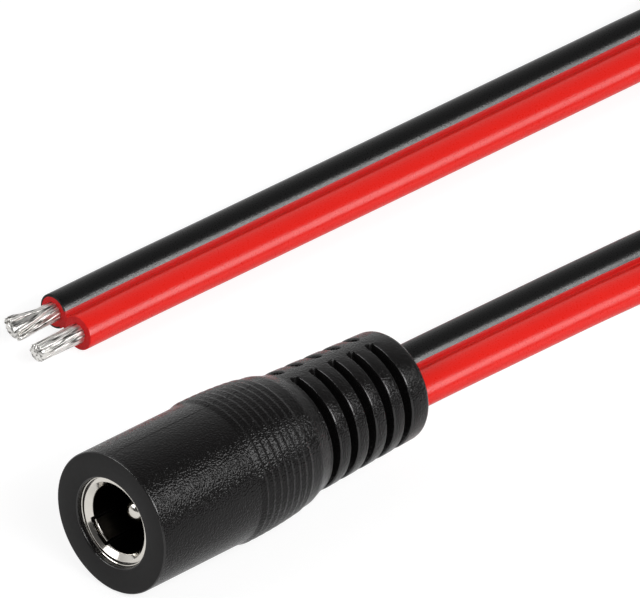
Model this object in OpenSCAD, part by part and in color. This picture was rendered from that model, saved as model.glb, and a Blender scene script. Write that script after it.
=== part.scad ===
// DC power pigtail: an overmoulded barrel socket on a flat twin cable with two tinned ends.
// The jack lies on its side with its axis along X. Its mouth faces -X and the cable leaves at +X.
// The origin is on the surface below the middle of the jack. All sizes are in millimetres.

/* [Barrel] */
// Length of the jack, from the mouth to the end of the strain relief
jack_len = 30.85; // [28:0.05:34]
// Diameter of the plain barrel at the mouth
barrel_d = 11.95; // [11:0.05:13]
// Loss of diameter along the barrel, for the mould's draft
barrel_draft = 0.05; // [0:0.05:0.4]
// Length of the plain barrel
barrel_len = 10.8; // [9:0.1:12]
// Rounding of the barrel's front edge
barrel_edge = 0.12; // [0.05:0.01:0.8]

/* [Grip band] */
// Largest diameter of the ringed grip band, at its first ring
grip_d = 12.25; // [12:0.05:14]
// Loss of diameter from the first ring to the last, along a crowned curve
grip_taper = 0.6; // [0:0.05:0.8]
// Length of the grip band
grip_len = 5.95; // [4:0.05:7]
// Number of rings on the grip band
ring_count = 8; // [4:1:12]
// Drop behind each ring
ring_depth = 0.14; // [0.05:0.01:0.25]
// Length of the sloped face behind each ring
ring_drop = 0.26; // [0.04:0.01:0.35]

/* [Strain relief] */
// Length of the plain band behind the rings
band_len = 1.1; // [0.4:0.05:2]
// Diameter at the end of the plain band
band_end_d = 11.2; // [10.8:0.05:11.6]
// Length of the rounded shoulder behind the plain band
shoulder_len = 1.35; // [1:0.05:3]
// How far the shoulder bulges out from a straight cone
shoulder_bulge = 0.01; // [0:0.01:0.1]
// Diameter at the front of the strain relief
relief_d = 10.25; // [9.5:0.05:10.7]
// Diameter at the end of the strain relief
relief_end_d = 9.25; // [8.6:0.05:10]
// Rounding of the rear edge
rear_edge = 0.5; // [0.1:0.05:1]
// Number of slots along each side
slot_count = 5; // [3:1:7]
// Width of a slot
slot_w = 0.85; // [0.5:0.01:1]
// Rib between the shoulder and the first slot
first_rib = 0.35; // [0.2:0.05:1]
// Collar between the last slot and the end
rear_collar = 2.15; // [1:0.05:2.6]
// Chamfer along the edges of a slot
slot_chamfer = 0.12; // [0.02:0.01:0.15]
// Diameter of the core that is left inside the slots
core_d = 7; // [6.8:0.05:7.4]
// Width at the surface of the two spines that the slots leave along the mould's parting line
spine_w = 1.1; // [0.8:0.05:2.4]
// Slope of the spines' sides
spine_draft = 6; // [0:1:20]
// Turn of the parting line away from the top
parting_turn = 5.5; // [-30:0.5:30]

/* [Socket] */
// Bore of the contact sleeve
sleeve_bore = 5.7; // [5.55:0.05:6]
// Wall of the contact sleeve
sleeve_wall = 0.4; // [0.25:0.05:0.6]
// Diameter of the flange at the sleeve's mouth
flange_d = 7.6; // [7.2:0.05:8.5]
// Thickness of the flange
flange_t = 0.5; // [0.45:0.05:1.2]
// How far the flange lies behind the front face
flange_recess = 0.4; // [0:0.05:0.5]
// Rounding of the flange's outer edge
flange_round = 0.4; // [0.1:0.05:0.4]
// Diameter of the bell mouth at the front of the flange
bell_d = 6.7; // [6.4:0.05:6.8]
// Depth of the bell mouth
bell_depth = 0.45; // [0.3:0.05:0.6]
// Depth of the socket from the front face
socket_depth = 9.8; // [9.5:0.1:10.4]
// Length of the insulator that holds the pin in the sleeve
insulator_len = 2.6; // [2:0.1:3.2]
// Width of the spring leaf in the sleeve's wall
leaf_w = 2; // [1.5:0.1:2.4]
// Length of the spring leaf
leaf_len = 4.8; // [3:0.1:6]
// Thickness of the spring leaf
leaf_t = 0.3; // [0.2:0.05:0.35]
// Cut that frees the leaf from the wall
leaf_gap = 0.25; // [0.15:0.05:0.4]
// How far the leaf's knee is bent into the bore
leaf_bend = 0.25; // [0.2:0.05:0.6]
// Distance of the knee from the leaf's free end
leaf_knee = 3.2; // [1:0.1:3.6]
// Turn of the leaf below the horizontal, on the +Y side
leaf_turn = 42; // [0:1:90]

/* [Centre pin] */
// Diameter of the centre pin
pin_d = 2; // [1.9:0.05:2.5]
// How far the pin's tip lies behind the front face
pin_recess = 2.2; // [1.5:0.1:3]
// Rounding of the pin's tip
pin_tip_round = 0.9; // [0.2:0.05:0.94]
// Step from the pin out to the thicker root that the insulator grips
pin_root_step = 0.3; // [0.1:0.05:0.35]
// Diameter of the collar that seats the pin on the insulator
pin_collar_d = 3.2; // [2.8:0.1:3.4]
// Thickness of the pin's collar
pin_collar_t = 0.5; // [0.3:0.1:0.8]
// Length of the pin's tail behind its collar
pin_tail_len = 2; // [1.6:0.1:2.2]

/* [Cable] */
// Diameter of one lobe of the twin cable
lobe_d = 2.95; // [2.6:0.05:3.1]
// Distance between the centres of the two lobes
lobe_pitch = 2.9; // [2.6:0.02:3.06]
// Height of the web between the lobes
web_h = 1.2; // [0.8:0.05:1.6]
// Thickness of the black skin
skin_t = 0.2; // [0.1:0.05:0.3]
// Roll of the cable in the jack, with the black lobe on the +Y side raised
cable_roll = 17; // [0:1:30]
// How far the cable leaves the jack below its axis
exit_drop = 0.3; // [0:0.05:0.4]

/* [Wires] */
// Diameter of the strand bundle in each lobe
wire_d = 1.6; // [1.2:0.05:1.7]
// Bare length of the tinned ends
bare_len = 4.85; // [3:0.05:8]
// Rounding of the tinned ends' tips
bare_round = 0.35; // [0.1:0.05:0.6]
// Length over which the red wire lies along the pin's tail
pin_lap = 1.6; // [1.4:0.1:1.9]
// Length over which the black wire lies along the sleeve's tail
tail_lap = 1.7; // [1.4:0.1:1.9]
// Bare black wire between the sleeve's tail and the end of the insulation
wire_run = 1.3; // [0.8:0.1:3]
// Solder between a wire and its tail
solder_gap = 0.1; // [0.05:0.01:0.2]
// Width of the sleeve's tail
tail_w = 1.6; // [1.2:0.1:2]
// Length of the sleeve's tail
tail_len = 4.6; // [4.2:0.1:5]
// Radius of the solder around a wire and its tail
solder_r = 1.25; // [1.15:0.05:1.3]
// Rounding of the solder's ends
solder_round = 0.5; // [0.2:0.05:0.65]

/* [Hidden] */
$fn = 96;

// How far a cut runs past the face that it opens
cut_over = 1;
// Overlap that joins the parts of one solid
eps = 0.01;
axis_z = grip_d / 2;
exit_x = jack_len / 2;
grip_end = barrel_len + grip_len;
band_end = grip_end + band_len;
relief_start = band_end + shoulder_len;
first_slot = relief_start + first_rib;
slot_pitch = (jack_len - rear_collar - slot_w - first_slot) / (slot_count - 1);
sleeve_r = sleeve_bore / 2 + sleeve_wall;
sleeve_end = socket_depth + insulator_len;
pin_root_d = pin_d + 2 * pin_root_step;
leaf_start = flange_recess + flange_t;
lobe_r = lobe_d / 2;
wire_r = wire_d / 2;
half_pitch = lobe_pitch / 2;
pin_tail_r = half_pitch - wire_r - solder_gap;
tail_inner = half_pitch + wire_r + solder_gap;
pin_tail_end = sleeve_end + pin_collar_t + pin_tail_len;
sleeve_tail_end = sleeve_end + tail_len;
anchor_s = sleeve_tail_end + wire_run;
anchor_len = jack_len - anchor_s;
red_strip = anchor_s - pin_tail_end + pin_lap;
black_strip = anchor_s - sleeve_tail_end + tail_lap;

// Centreline of the free cable: x, y, z and the roll of the section about the direction of travel.
// It leaves the jack level, comes down to the surface, turns in one wide loop and comes back.
free_route = [
    [30, 0, 5.7, 17], [39, 0, 5.55, 18], [48, -0.1, 5.25, 23], [57, -0.9, 4.7, 34],
    [66, -2.3, 4, 49], [75, -4, 3.4, 64], [84, -5.8, 3.03, 77], [92, -7.1, 2.96, 85],
    [100, -8.1, 2.96, 89], [108.5, -8.5, 2.96, 90], [117.3, -6.7, 2.96, 90], [124.8, -1.8, 2.96, 90],
    [129.7, 5.7, 2.96, 90], [131.5, 14.5, 2.96, 90], [129.7, 23.3, 2.96, 90], [124.8, 30.8, 2.96, 90],
    [117.3, 35.7, 2.96, 90], [109, 37.3, 2.96, 92], [101.5, 36, 2.95, 102], [94.5, 33.2, 2.8, 120],
    [87.5, 30.7, 2.4, 144], [80, 29.65, 2, 160], [72, 29.7, 1.93, 163], [64, 29.77, 1.93, 163],
    [55, 29.86, 1.93, 163], [46, 29.95, 1.93, 163], [36, 30.08, 1.93, 163], [26, 30.2, 1.93, 163],
    [18, 30.317, 1.93, 163], [9.33, 30.33, 1.93, 163]];
// Rings of the sweep from one route point to the next
ring_steps = 2;

exit_z = axis_z - exit_drop;
// Level stretch of the cable behind the jack
level_run = 5;
route = concat([[exit_x - anchor_len, 0, exit_z, cable_roll], [exit_x, 0, exit_z, cable_roll],
    [exit_x + level_run, 0, exit_z, cable_roll]], free_route);
cable_end = route[len(route) - 1];

// Corners of a lobe around its own centre, from one side of the web to the other. The black skin ends
// at the first and the last of them.
lobe_angles = [-135 : 45 : 135];
function reversed(list) = [for (i = [len(list) - 1 : -1 : 0]) list[i]];
function lobe(side, radius) =
    [for (a = lobe_angles) [side * (half_pitch + radius * cos(a)), radius * sin(a)]];

// Sections of the cable, with the red lobe at the left and the black lobe at the right
web_low = [[0, -web_h / 2]];
web_high = [[0, web_h / 2]];
red_lobe = reversed(lobe(-1, lobe_r));
black_lobe = lobe(1, lobe_r);
skin_inside = lobe(1, lobe_r - skin_t);
cable_outline = concat(web_low, black_lobe, web_high, red_lobe);
red_outline = concat(web_low, [black_lobe[0]], skin_inside, [black_lobe[len(black_lobe) - 1]],
    web_high, red_lobe);
skin_outline = concat(black_lobe, reversed(skin_inside));

// Smooth curve through the route's points, with its ends carried on in a straight line
function route_point(i) = i < 0 ? 2 * route[0] - route[1]
    : i >= len(route) ? 2 * route[len(route) - 1] - route[len(route) - 2] : route[i];
function on_curve(p, q, r, s, t) = (2 * q + (r - p) * t + (2 * p - 5 * q + 4 * r - s) * t * t
    + (3 * q - p - 3 * r + s) * t * t * t) / 2;
function curve_at(i, t) =
    on_curve(route_point(i - 1), route_point(i), route_point(i + 1), route_point(i + 2), t);
curve = concat([for (i = [0 : len(route) - 2], k = [0 : ring_steps - 1]) curve_at(i, k / ring_steps)],
    [cable_end]);

function xyz(p) = [p[0], p[1], p[2]];
function unit(v) = v / norm(v);
function heading(i) = unit(xyz(curve[min(i + 1, len(curve) - 1)]) - xyz(curve[max(i - 1, 0)]));

// One ring of the sweep: the section turned by the roll, square to the direction of travel
function ring(i, outline) =
    let (ahead = heading(i), side = unit(cross([0, 0, 1], ahead)), up = cross(ahead, side),
         roll = curve[i][3], across = side * cos(roll) + up * sin(roll),
         square = up * cos(roll) - side * sin(roll))
    [for (p = outline) xyz(curve[i]) + p[0] * across + p[1] * square];

// Point of the section's axis at the tinned end, for a lobe at the given side
function end_axis(side) = let (roll = cable_end[3])
    xyz(cable_end) + side * half_pitch * [0, -cos(roll), sin(roll)];

// Solid that an outline makes along the cable. Edges from turned_from on have their quads split the
// other way, so that the skin and the lobe under it share the same triangles.
module sweep(outline, turned_from) {
    n = len(outline);
    last = len(curve) - 1;
    points = [for (i = [0 : last], p = ring(i, outline)) p];
    sides = [for (i = [0 : last - 1], j = [0 : n - 1])
        let (a = i * n + j, b = i * n + (j + 1) % n, c = b + n, d = a + n)
        each j < turned_from ? [[a, d, c], [a, c, b]] : [[a, d, b], [d, c, b]]];
    caps = [[for (j = [0 : n - 1]) j], [for (j = [n - 1 : -1 : 0]) last * n + j]];
    polyhedron(points, concat(sides, caps), convexity = 8);
}

// Places a shape drawn along Z, from the front face backwards, on the jack's axis
module on_axis() {
    translate([-jack_len / 2, 0, axis_z]) rotate([90, 0, 90]) children();
}

// Places a shape drawn around one lobe's axis, from the front face backwards
module on_lobe(side) {
    on_axis() translate([0, -exit_drop, 0]) rotate([0, 0, cable_roll])
        translate([side * half_pitch, 0, 0]) children();
}

// Points of an arc around a centre
function arc(centre, radius, from, to, steps) = [for (i = [0 : steps])
    let (a = from + (to - from) * i / steps) centre + radius * [cos(a), sin(a)]];

// Outer profile of the overmoulding, as radius and distance from the front face
barrel_r = barrel_d / 2;
barrel_end_r = barrel_r - barrel_draft / 2;
ring_pitch = grip_len / ring_count;
function grip_r(s) = grip_d / 2
    - grip_taper / 2 * pow((s - barrel_len - ring_pitch) / (grip_len - ring_pitch), 2);
function shoulder_r(f) = (band_end_d * (1 - f) + relief_d * f) / 2 + 4 * shoulder_bulge * f * (1 - f);
function relief_r(s) = relief_d / 2
    - (relief_d - relief_end_d) / 2 * (s - relief_start) / (jack_len - relief_start);
shoulder_steps = 6;
// Each ring widens to the rear up to its crest, then drops
grip_points = [for (i = [1 : ring_count])
    let (s = barrel_len + i * ring_pitch)
    each [[grip_r(s), s - ring_drop], [grip_r(s) - ring_depth, s]]];
shoulder_points = [for (i = [0 : shoulder_steps])
    [shoulder_r(i / shoulder_steps), band_end + shoulder_len * i / shoulder_steps]];
housing_profile = concat([[0, 0]],
    arc([barrel_r - barrel_edge, barrel_edge], barrel_edge, -90, 0, 5),
    [[barrel_end_r, barrel_len]], grip_points, shoulder_points,
    arc([relief_r(jack_len - rear_edge) - rear_edge, jack_len - rear_edge], rear_edge, 0, 90, 5),
    [[0, jack_len]]);

// Profile of one slot's cut, from the core out past the surface, with chamfered edges
module slot_profile(s) {
    surface = relief_r(s);
    out = grip_d / 2;
    flare = slot_chamfer + out - surface;
    polygon([[core_d / 2, s], [surface - slot_chamfer, s], [out, s - flare],
        [out, s + slot_w + flare], [surface - slot_chamfer, s + slot_w], [core_d / 2, s + slot_w]]);
}

// The two spines that stay solid between the slots of the two sides
module spines() {
    root = spine_w / 2 + (relief_d / 2) * tan(spine_draft);
    rotate([0, 0, -parting_turn])
        for (turn = [0, 180])
            rotate([0, 0, turn])
                linear_extrude(jack_len)
                    polygon([[-root, 0], [root, 0], [spine_w / 2, relief_d / 2],
                        [spine_w / 2, grip_d], [-spine_w / 2, grip_d], [-spine_w / 2, relief_d / 2]]);
}

module slots() {
    difference() {
        for (i = [0 : slot_count - 1])
            rotate_extrude() slot_profile(first_slot + i * slot_pitch);
        spines();
    }
}

// Room in the overmoulding for the sleeve and its flange
module sleeve_room() {
    translate([0, 0, -cut_over]) cylinder(r = sleeve_r, h = sleeve_end + cut_over);
    translate([0, 0, -cut_over]) cylinder(d = flange_d, h = flange_recess + flange_t + cut_over);
}

module jack_housing() {
    color("#232323") difference() {
        on_axis() difference() {
            rotate_extrude() polygon(housing_profile);
            slots();
            sleeve_room();
            pin_rear();
            sleeve_tail();
        }
        pin_solder();
        sleeve_solder();
        wire_in_jack(-1, red_strip);
        wire_in_jack(1, black_strip);
        translate([exit_x - anchor_len, 0, exit_z]) rotate([90, 0, 90]) rotate([0, 0, cable_roll])
            linear_extrude(anchor_len + cut_over) polygon(cable_outline);
    }
}

// Sleeve and flange in section, with the bell mouth
module sleeve_profile() {
    bore_r = sleeve_bore / 2;
    flange_r = flange_d / 2;
    flange_end = flange_recess + flange_t;
    polygon(concat([[bore_r, sleeve_end], [bore_r, flange_recess + bell_depth],
        [bell_d / 2, flange_recess]],
        arc([flange_r - flange_round, flange_recess + flange_round], flange_round, -90, 0, 5),
        [[flange_r, flange_end], [sleeve_r, flange_end], [sleeve_r, sleeve_end]]));
}

// Window in the sleeve's wall, from a notch in the flange to the root of the leaf
module leaf_window() {
    window_len = leaf_len + leaf_gap;
    translate([0, 0, leaf_start - leaf_gap]) intersection() {
        cylinder(r = sleeve_r + leaf_gap / 2, h = window_len);
        translate([0, -leaf_w / 2 - leaf_gap, 0])
            cube([flange_d, leaf_w + 2 * leaf_gap, window_len]);
    }
}

// Leaf that runs from its root in to a knee, which presses on the plug, and out again to its free end
module leaf() {
    root = leaf_start + leaf_len;
    outer = sqrt(pow(sleeve_r, 2) - pow(leaf_w / 2, 2)) - eps;
    line = [[outer, root + leaf_gap], [outer, root], [outer - leaf_bend, leaf_start + leaf_knee],
        [outer, leaf_start]];
    inside = [for (p = line) p - [leaf_t, 0]];
    translate([0, leaf_w / 2, 0]) rotate([90, 0, 0])
        linear_extrude(leaf_w) polygon(concat(line, reversed(inside)));
}

// Tail folded in over the insulator, then back along the black wire
module sleeve_tail() {
    intersection() {
        translate([0, 0, sleeve_end - eps]) cylinder(r = sleeve_r, h = tail_len + eps);
        translate([0, -exit_drop, sleeve_end]) rotate([0, 0, cable_roll]) union() {
            translate([tail_inner, -tail_w / 2, 0]) cube([sleeve_wall, tail_w, tail_len]);
            translate([tail_inner, -tail_w / 2, 0]) cube([sleeve_r, tail_w, sleeve_wall]);
        }
    }
}

module contact_sleeve() {
    color("#cfc9bd") on_axis() {
        difference() {
            rotate_extrude() sleeve_profile();
            rotate([0, 0, -leaf_turn]) leaf_window();
        }
        rotate([0, 0, -leaf_turn]) leaf();
        sleeve_tail();
    }
}

module socket_insulator() {
    color("#1a1a1a") on_axis() difference() {
        translate([0, 0, socket_depth]) cylinder(d = sleeve_bore, h = insulator_len);
        translate([0, 0, socket_depth - cut_over])
            cylinder(d = pin_root_d, h = insulator_len + 2 * cut_over);
    }
}

// Collar and tail of the pin, behind the insulator
module pin_rear() {
    translate([0, 0, sleeve_end]) cylinder(d = pin_collar_d, h = pin_collar_t);
    translate([0, 0, sleeve_end]) cylinder(r = pin_tail_r, h = pin_collar_t + pin_tail_len);
}

module centre_pin() {
    pin_r = pin_d / 2;
    color("#d8d3c8") on_axis() {
        rotate_extrude() polygon(concat([[0, pin_recess]],
            arc([pin_r - pin_tip_round, pin_recess + pin_tip_round], pin_tip_round, -90, 0, 6),
            [[pin_r, socket_depth], [pin_root_d / 2, socket_depth], [pin_root_d / 2, sleeve_end],
            [0, sleeve_end]]));
        pin_rear();
    }
}

// Bare strands inside the jack, from the cut end of the insulation forwards
module wire_in_jack(side, strip) {
    on_lobe(side) translate([0, 0, anchor_s - strip]) cylinder(r = wire_r, h = strip);
}

module red_wire_end() {
    color("#b9b4aa") wire_in_jack(-1, red_strip);
}

module black_wire_end() {
    color("#b9b4aa") wire_in_jack(1, black_strip);
}

// Bead of solder with round ends, along Z between two places
module bead(from, to) {
    rotate_extrude() polygon(concat([[0, from]],
        arc([solder_r - solder_round, from + solder_round], solder_round, -90, 0, 4),
        arc([solder_r - solder_round, to - solder_round], solder_round, 0, 90, 4), [[0, to]]));
}

module pin_solder() {
    on_lobe(-1) translate([wire_r / 2, 0, 0]) bead(pin_tail_end - pin_lap, pin_tail_end);
}

module pin_solder_joint() {
    color("#c4c4c4") difference() {
        pin_solder();
        wire_in_jack(-1, red_strip);
        on_axis() pin_rear();
    }
}

module sleeve_solder() {
    on_lobe(1) translate([wire_r / 2, 0, 0]) bead(sleeve_tail_end - tail_lap, sleeve_tail_end);
}

module sleeve_solder_joint() {
    color("#c4c4c4") difference() {
        sleeve_solder();
        wire_in_jack(1, black_strip);
        on_axis() sleeve_tail();
    }
}

module cable_insulation() {
    color("#d8201c") sweep(red_outline, len(red_outline));
}

module cable_black_skin() {
    color("#1c1c1c") sweep(skin_outline, len(black_lobe) - 1);
}

// Tinned strands beyond the cut end of the insulation
module tinned_end(side) {
    translate(end_axis(side)) rotate([0, -90, 0]) rotate_extrude() polygon(concat([[0, 0], [wire_r, 0]],
        arc([wire_r - bare_round, bare_len - bare_round], bare_round, 0, 90, 5), [[0, bare_len]]));
}

module red_tinned_end() {
    color("#c9c9c9") tinned_end(-1);
}

module black_tinned_end() {
    color("#c9c9c9") tinned_end(1);
}

jack_housing();
contact_sleeve();
socket_insulator();
centre_pin();
pin_solder_joint();
sleeve_solder_joint();
red_wire_end();
black_wire_end();
cable_insulation();
cable_black_skin();
red_tinned_end();
black_tinned_end();
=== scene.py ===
# Looks of the DC power pigtail: moulded jack, plated socket, flat twin cable and tinned ends.
# The jack's axis runs along X from the mouth to the cable. s is the distance behind the mouth's face,
# and an angle round the jack is counted from the top towards +Y.
import math

import bmesh
import bpy
import numpy as np
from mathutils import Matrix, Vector


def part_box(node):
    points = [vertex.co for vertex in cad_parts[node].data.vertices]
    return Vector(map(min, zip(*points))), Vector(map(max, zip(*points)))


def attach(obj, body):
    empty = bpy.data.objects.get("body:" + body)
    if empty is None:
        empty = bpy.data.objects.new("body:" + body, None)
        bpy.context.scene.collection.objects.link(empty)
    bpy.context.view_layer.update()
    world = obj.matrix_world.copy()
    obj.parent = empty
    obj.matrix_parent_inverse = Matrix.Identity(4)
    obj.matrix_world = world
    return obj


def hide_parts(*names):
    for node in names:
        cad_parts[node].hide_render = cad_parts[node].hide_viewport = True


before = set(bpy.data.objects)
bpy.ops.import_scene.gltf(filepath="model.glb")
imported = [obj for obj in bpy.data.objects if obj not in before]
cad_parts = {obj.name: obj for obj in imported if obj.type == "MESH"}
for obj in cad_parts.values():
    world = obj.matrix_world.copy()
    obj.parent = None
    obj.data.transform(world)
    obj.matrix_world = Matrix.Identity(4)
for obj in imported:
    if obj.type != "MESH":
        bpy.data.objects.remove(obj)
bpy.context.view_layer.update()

MM = 0.001
QUARTER = np.radians([0, 18, 36, 54, 72, 90])

# Jack, placed by its CAD node
jack_low, jack_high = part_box("jack_housing")
FRONT_X = jack_low.x
EXIT_X = jack_high.x
AXIS_Z = (jack_low.z + jack_high.z) / 2
JACK_LEN = EXIT_X - FRONT_X

# Overmoulding
BARREL_R = 5.975 * MM
BARREL_END_R = 5.95 * MM
BARREL_LEN = 10.8 * MM
BARREL_EDGE = 0.15 * MM
GRIP_R = 6.125 * MM
GRIP_FALL = 0.3 * MM
GRIP_LEN = 5.95 * MM
RING_COUNT = 8
RING_DEPTH = 0.14 * MM
RING_DROP = 0.26 * MM
RING_EDGE = 0.06 * MM
BAND_LEN = 1.1 * MM
BAND_END_R = 5.6 * MM
BAND_ROUND = 0.2 * MM
SHOULDER_LEN = 1.35 * MM
RELIEF_R = 5.125 * MM
RELIEF_END_R = 4.625 * MM
REAR_EDGE = 0.5 * MM
SLOT_COUNT = 5
SLOT_W = 0.85 * MM
FIRST_RIB = 0.35 * MM
REAR_COLLAR = 2.15 * MM
SLOT_EDGE = 0.14 * MM
SLOT_LEAN = 0.05 * MM
SLOT_FLOOR_ROUND = 0.2 * MM
SLOT_CORNER = 0.3 * MM
CORE_R = 3.5 * MM
SPINE_HALF = 0.55 * MM
SPINE_FLARE = 0.14 * MM
SPINE_TURN = math.radians(5.5)
PARTING_LINE = math.radians(3)
PARTING_STEP = 0.02 * MM
PARTING_WIDE = 0.08 * MM
SEAT_EDGE = 0.18 * MM
# How far a face looks ahead, as the share of its normal, to be part of the front face or of a lit edge
FACE_AHEAD = 0.97
EDGE_AHEAD = 0.1

# Socket
SLEEVE_BORE_R = 2.85 * MM
SLEEVE_R = 3.25 * MM
SLEEVE_END = 12.4 * MM
FLANGE_R = 3.8 * MM
FLANGE_T = 0.5 * MM
FLANGE_RECESS = 0.4 * MM
BEAD_R = 3.74 * MM
BEAD_W = 0.05 * MM
BEAD_DIP = 0.1 * MM
BEAD_ROUND = 0.015 * MM
RIM_ROUND = 0.04 * MM
BELL_R = 3.35 * MM
BELL_DEPTH = 0.45 * MM
BELL_ROUND = 0.12 * MM
BELL_LIP = 0.04 * MM
LEAF_W = 2 * MM
LEAF_LEN = 4.8 * MM
LEAF_T = 0.3 * MM
LEAF_R = 3.08 * MM
LEAF_GAP = 0.25 * MM
LEAF_BEND = 0.25 * MM
LEAF_KNEE = 3.2 * MM
KNEE_ROUND = 0.7 * MM
LEAF_EDGE = 0.1 * MM
LEAF_ANGLE = math.radians(132)
SOCKET_DEPTH = 9.8 * MM
# A face nearer the axis than the outside of the wall by this much is part of the bore, and gets its painted
# shade
BORE_INSIDE = 0.05 * MM
SLEEVE_SIDES = 240
WINDOW_SHARP = math.radians(40)

# Centre pin
PIN_R = 1 * MM
PIN_RECESS = 2.2 * MM
PIN_TIP_ROUND = 0.9 * MM
PIN_ROOT_R = 1.3 * MM
PIN_COLLAR_R = 1.6 * MM
PIN_COLLAR_T = 0.5 * MM
PIN_TAIL_R = 0.55 * MM
PIN_TAIL_LEN = 2 * MM
# The pin's ends are closed by a small flat round the axis
PIN_END_R = 0.02 * MM
PIN_SIDES = 96

# Cable
LOBE_R = 1.475 * MM
HALF_PITCH = 1.45 * MM
WEB_HALF = 0.6 * MM
WEB_REACH = math.radians(155)
SKIN_T = 0.2 * MM
SKIN_REACH = math.radians(141)
CUT_ROUND = 0.1 * MM
CUT_AHEAD = 0.8
BARE_LEN = 4.85 * MM
LOBE_STEPS = 61
UNDER_SKIN_STEPS = 41
SKIN_STEPS = 49

# Flat along each lobe. Angles go round the section from the black lobe's side over the upper side:
# which way the flat faces, and where its middle lies on the red and on the black lobe
FLAT_FACES = math.radians(128)
RED_FLAT = math.radians(141)
BLACK_FLAT = math.radians(139)
# Either way from that middle: how far the shading turns to the flat, how far it is even, how far it shines
FLAT_FADE = math.radians(35)
FLAT_HALF = math.radians(15)
FLAT_GLOSS = math.radians(22)
# Share of the lobe's curve that the flat takes out of the shading
FLATNESS = 0.63
# The flat fades out as the cable turns on its edge. It is clear where the direction square to the cable
# points up by this share
FLAT_CLEAR = 0.5
# Painted shade in the valley between the lobes, from the middle of the section towards the black skin
GROOVE_SHADE_FROM = -0.05 * MM
GROOVE_SHADE_FADE = 0.15 * MM

# Route of the free cable from the jack's exit: x, y, z and the roll of the section, in mm and degrees
ROUTE = [
    (15.425, 0, 5.825, 17), (20.425, 0, 5.825, 17), (30, 0, 5.7, 17), (39, 0, 5.55, 18),
    (48, -0.1, 5.25, 23), (57, -0.9, 4.7, 34), (66, -2.3, 4, 49), (75, -4, 3.4, 64),
    (84, -5.8, 3.03, 77), (92, -7.1, 2.96, 85), (100, -8.1, 2.96, 89), (108.5, -8.5, 2.96, 90),
    (117.3, -6.7, 2.96, 90), (124.8, -1.8, 2.96, 90), (129.7, 5.7, 2.96, 90), (131.5, 14.5, 2.96, 90),
    (129.7, 23.3, 2.96, 90), (124.8, 30.8, 2.96, 90), (117.3, 35.7, 2.96, 90), (109, 37.3, 2.96, 92),
    (101.5, 36, 2.95, 102), (94.5, 33.2, 2.8, 120), (87.5, 30.7, 2.4, 144), (80, 29.65, 2, 160),
    (72, 29.7, 1.93, 163), (64, 29.77, 1.93, 163), (55, 29.86, 1.93, 163), (46, 29.95, 1.93, 163),
    (36, 30.08, 1.93, 163), (26, 30.2, 1.93, 163), (18, 30.317, 1.93, 163), (9.33, 30.33, 1.93, 163)]
ROUTE_STEPS = 8

# Photograph's view: a long lens, 640 pixels wide
VIEW_AZIMUTH = math.radians(-44.92)
VIEW_ELEVATION = math.radians(29.75)
VIEW_WIDTH = 50.91 * MM
VIEW_CENTRE = Vector((24.865, 17.24, 3.1)) * MM
LENS = 1500
SENSOR = 36


def make_camera():
    """Camera far off with a long lens, which sees as the photograph does."""
    distance = VIEW_WIDTH * LENS / SENSOR
    back = Vector((math.sin(VIEW_AZIMUTH) * math.cos(VIEW_ELEVATION),
                   -math.cos(VIEW_AZIMUTH) * math.cos(VIEW_ELEVATION), math.sin(VIEW_ELEVATION)))
    data = bpy.data.cameras.new("camera")
    data.lens = LENS
    data.sensor_width = SENSOR
    data.clip_end = 4 * distance
    camera = bpy.data.objects.new("camera", data)
    bpy.context.scene.collection.objects.link(camera)
    camera.location = VIEW_CENTRE + distance * back
    camera.rotation_euler = (-back).to_track_quat("-Z", "Y").to_euler()
    bpy.context.scene.camera = camera


# Materials

def linear(code):
    """Linear colour of an sRGB hex value."""
    levels = [int(code[i:i + 2], 16) / 255 for i in (1, 3, 5)]
    return tuple(v / 12.92 if v <= 0.04045 else ((v + 0.055) / 1.055) ** 2.4 for v in levels) + (1,)


def put(tree, kind, inputs=None, **settings):
    """Adds a node with its settings. An input is a value, or the socket that it is linked from."""
    made = tree.nodes.new(kind)
    for name, value in settings.items():
        setattr(made, name, value)
    for name, value in (inputs or {}).items():
        if isinstance(value, bpy.types.NodeSocket):
            tree.links.new(value, made.inputs[name])
        else:
            made.inputs[name].default_value = value
    return made


def per_size(size):
    """Scale of a texture in metres whose grains have this size."""
    return 1 / size


def start_material(name):
    material = bpy.data.materials.new(name)
    material.use_nodes = True
    material.node_tree.nodes.clear()
    return material, material.node_tree


def end_material(tree, inputs):
    shader = put(tree, "ShaderNodeBsdfPrincipled", inputs)
    put(tree, "ShaderNodeOutputMaterial", {"Surface": shader.outputs["BSDF"]})


def grained_pvc():
    """Black PVC moulded in a spark-eroded tool: a fine pebble grain that breaks soft light into sparks."""
    material, tree = start_material("black_pvc_spark_eroded")
    place = put(tree, "ShaderNodeTexCoord").outputs["Object"]
    # The real grit is guessed at 0.05 mm, finer than the picture shows, so it is drawn at 0.14 mm
    pebbles = put(tree, "ShaderNodeTexNoise", {
        "Vector": place, "Scale": per_size(0.14 * MM), "Detail": 0})
    patches = put(tree, "ShaderNodeTexNoise", {
        "Vector": place, "Scale": per_size(1.5 * MM), "Detail": 2})
    dullness = put(tree, "ShaderNodeMapRange", {
        "Value": patches.outputs["Fac"], "To Min": 0.17, "To Max": 0.23})
    tint = put(tree, "ShaderNodeMix", {
        "Factor": patches.outputs["Fac"], "A": linear("#0f0e0e"), "B": linear("#131212")}, data_type="RGBA")
    bump = put(tree, "ShaderNodeBump", {
        "Height": pebbles.outputs["Fac"], "Strength": 1, "Distance": 0.046 * MM})
    end_material(tree, {
        "Base Color": tint.outputs["Result"], "Roughness": dullness.outputs["Result"],
        "IOR": 1.5, "Specular IOR Level": 0.19, "Normal": bump.outputs["Normal"]})
    return material


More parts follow.
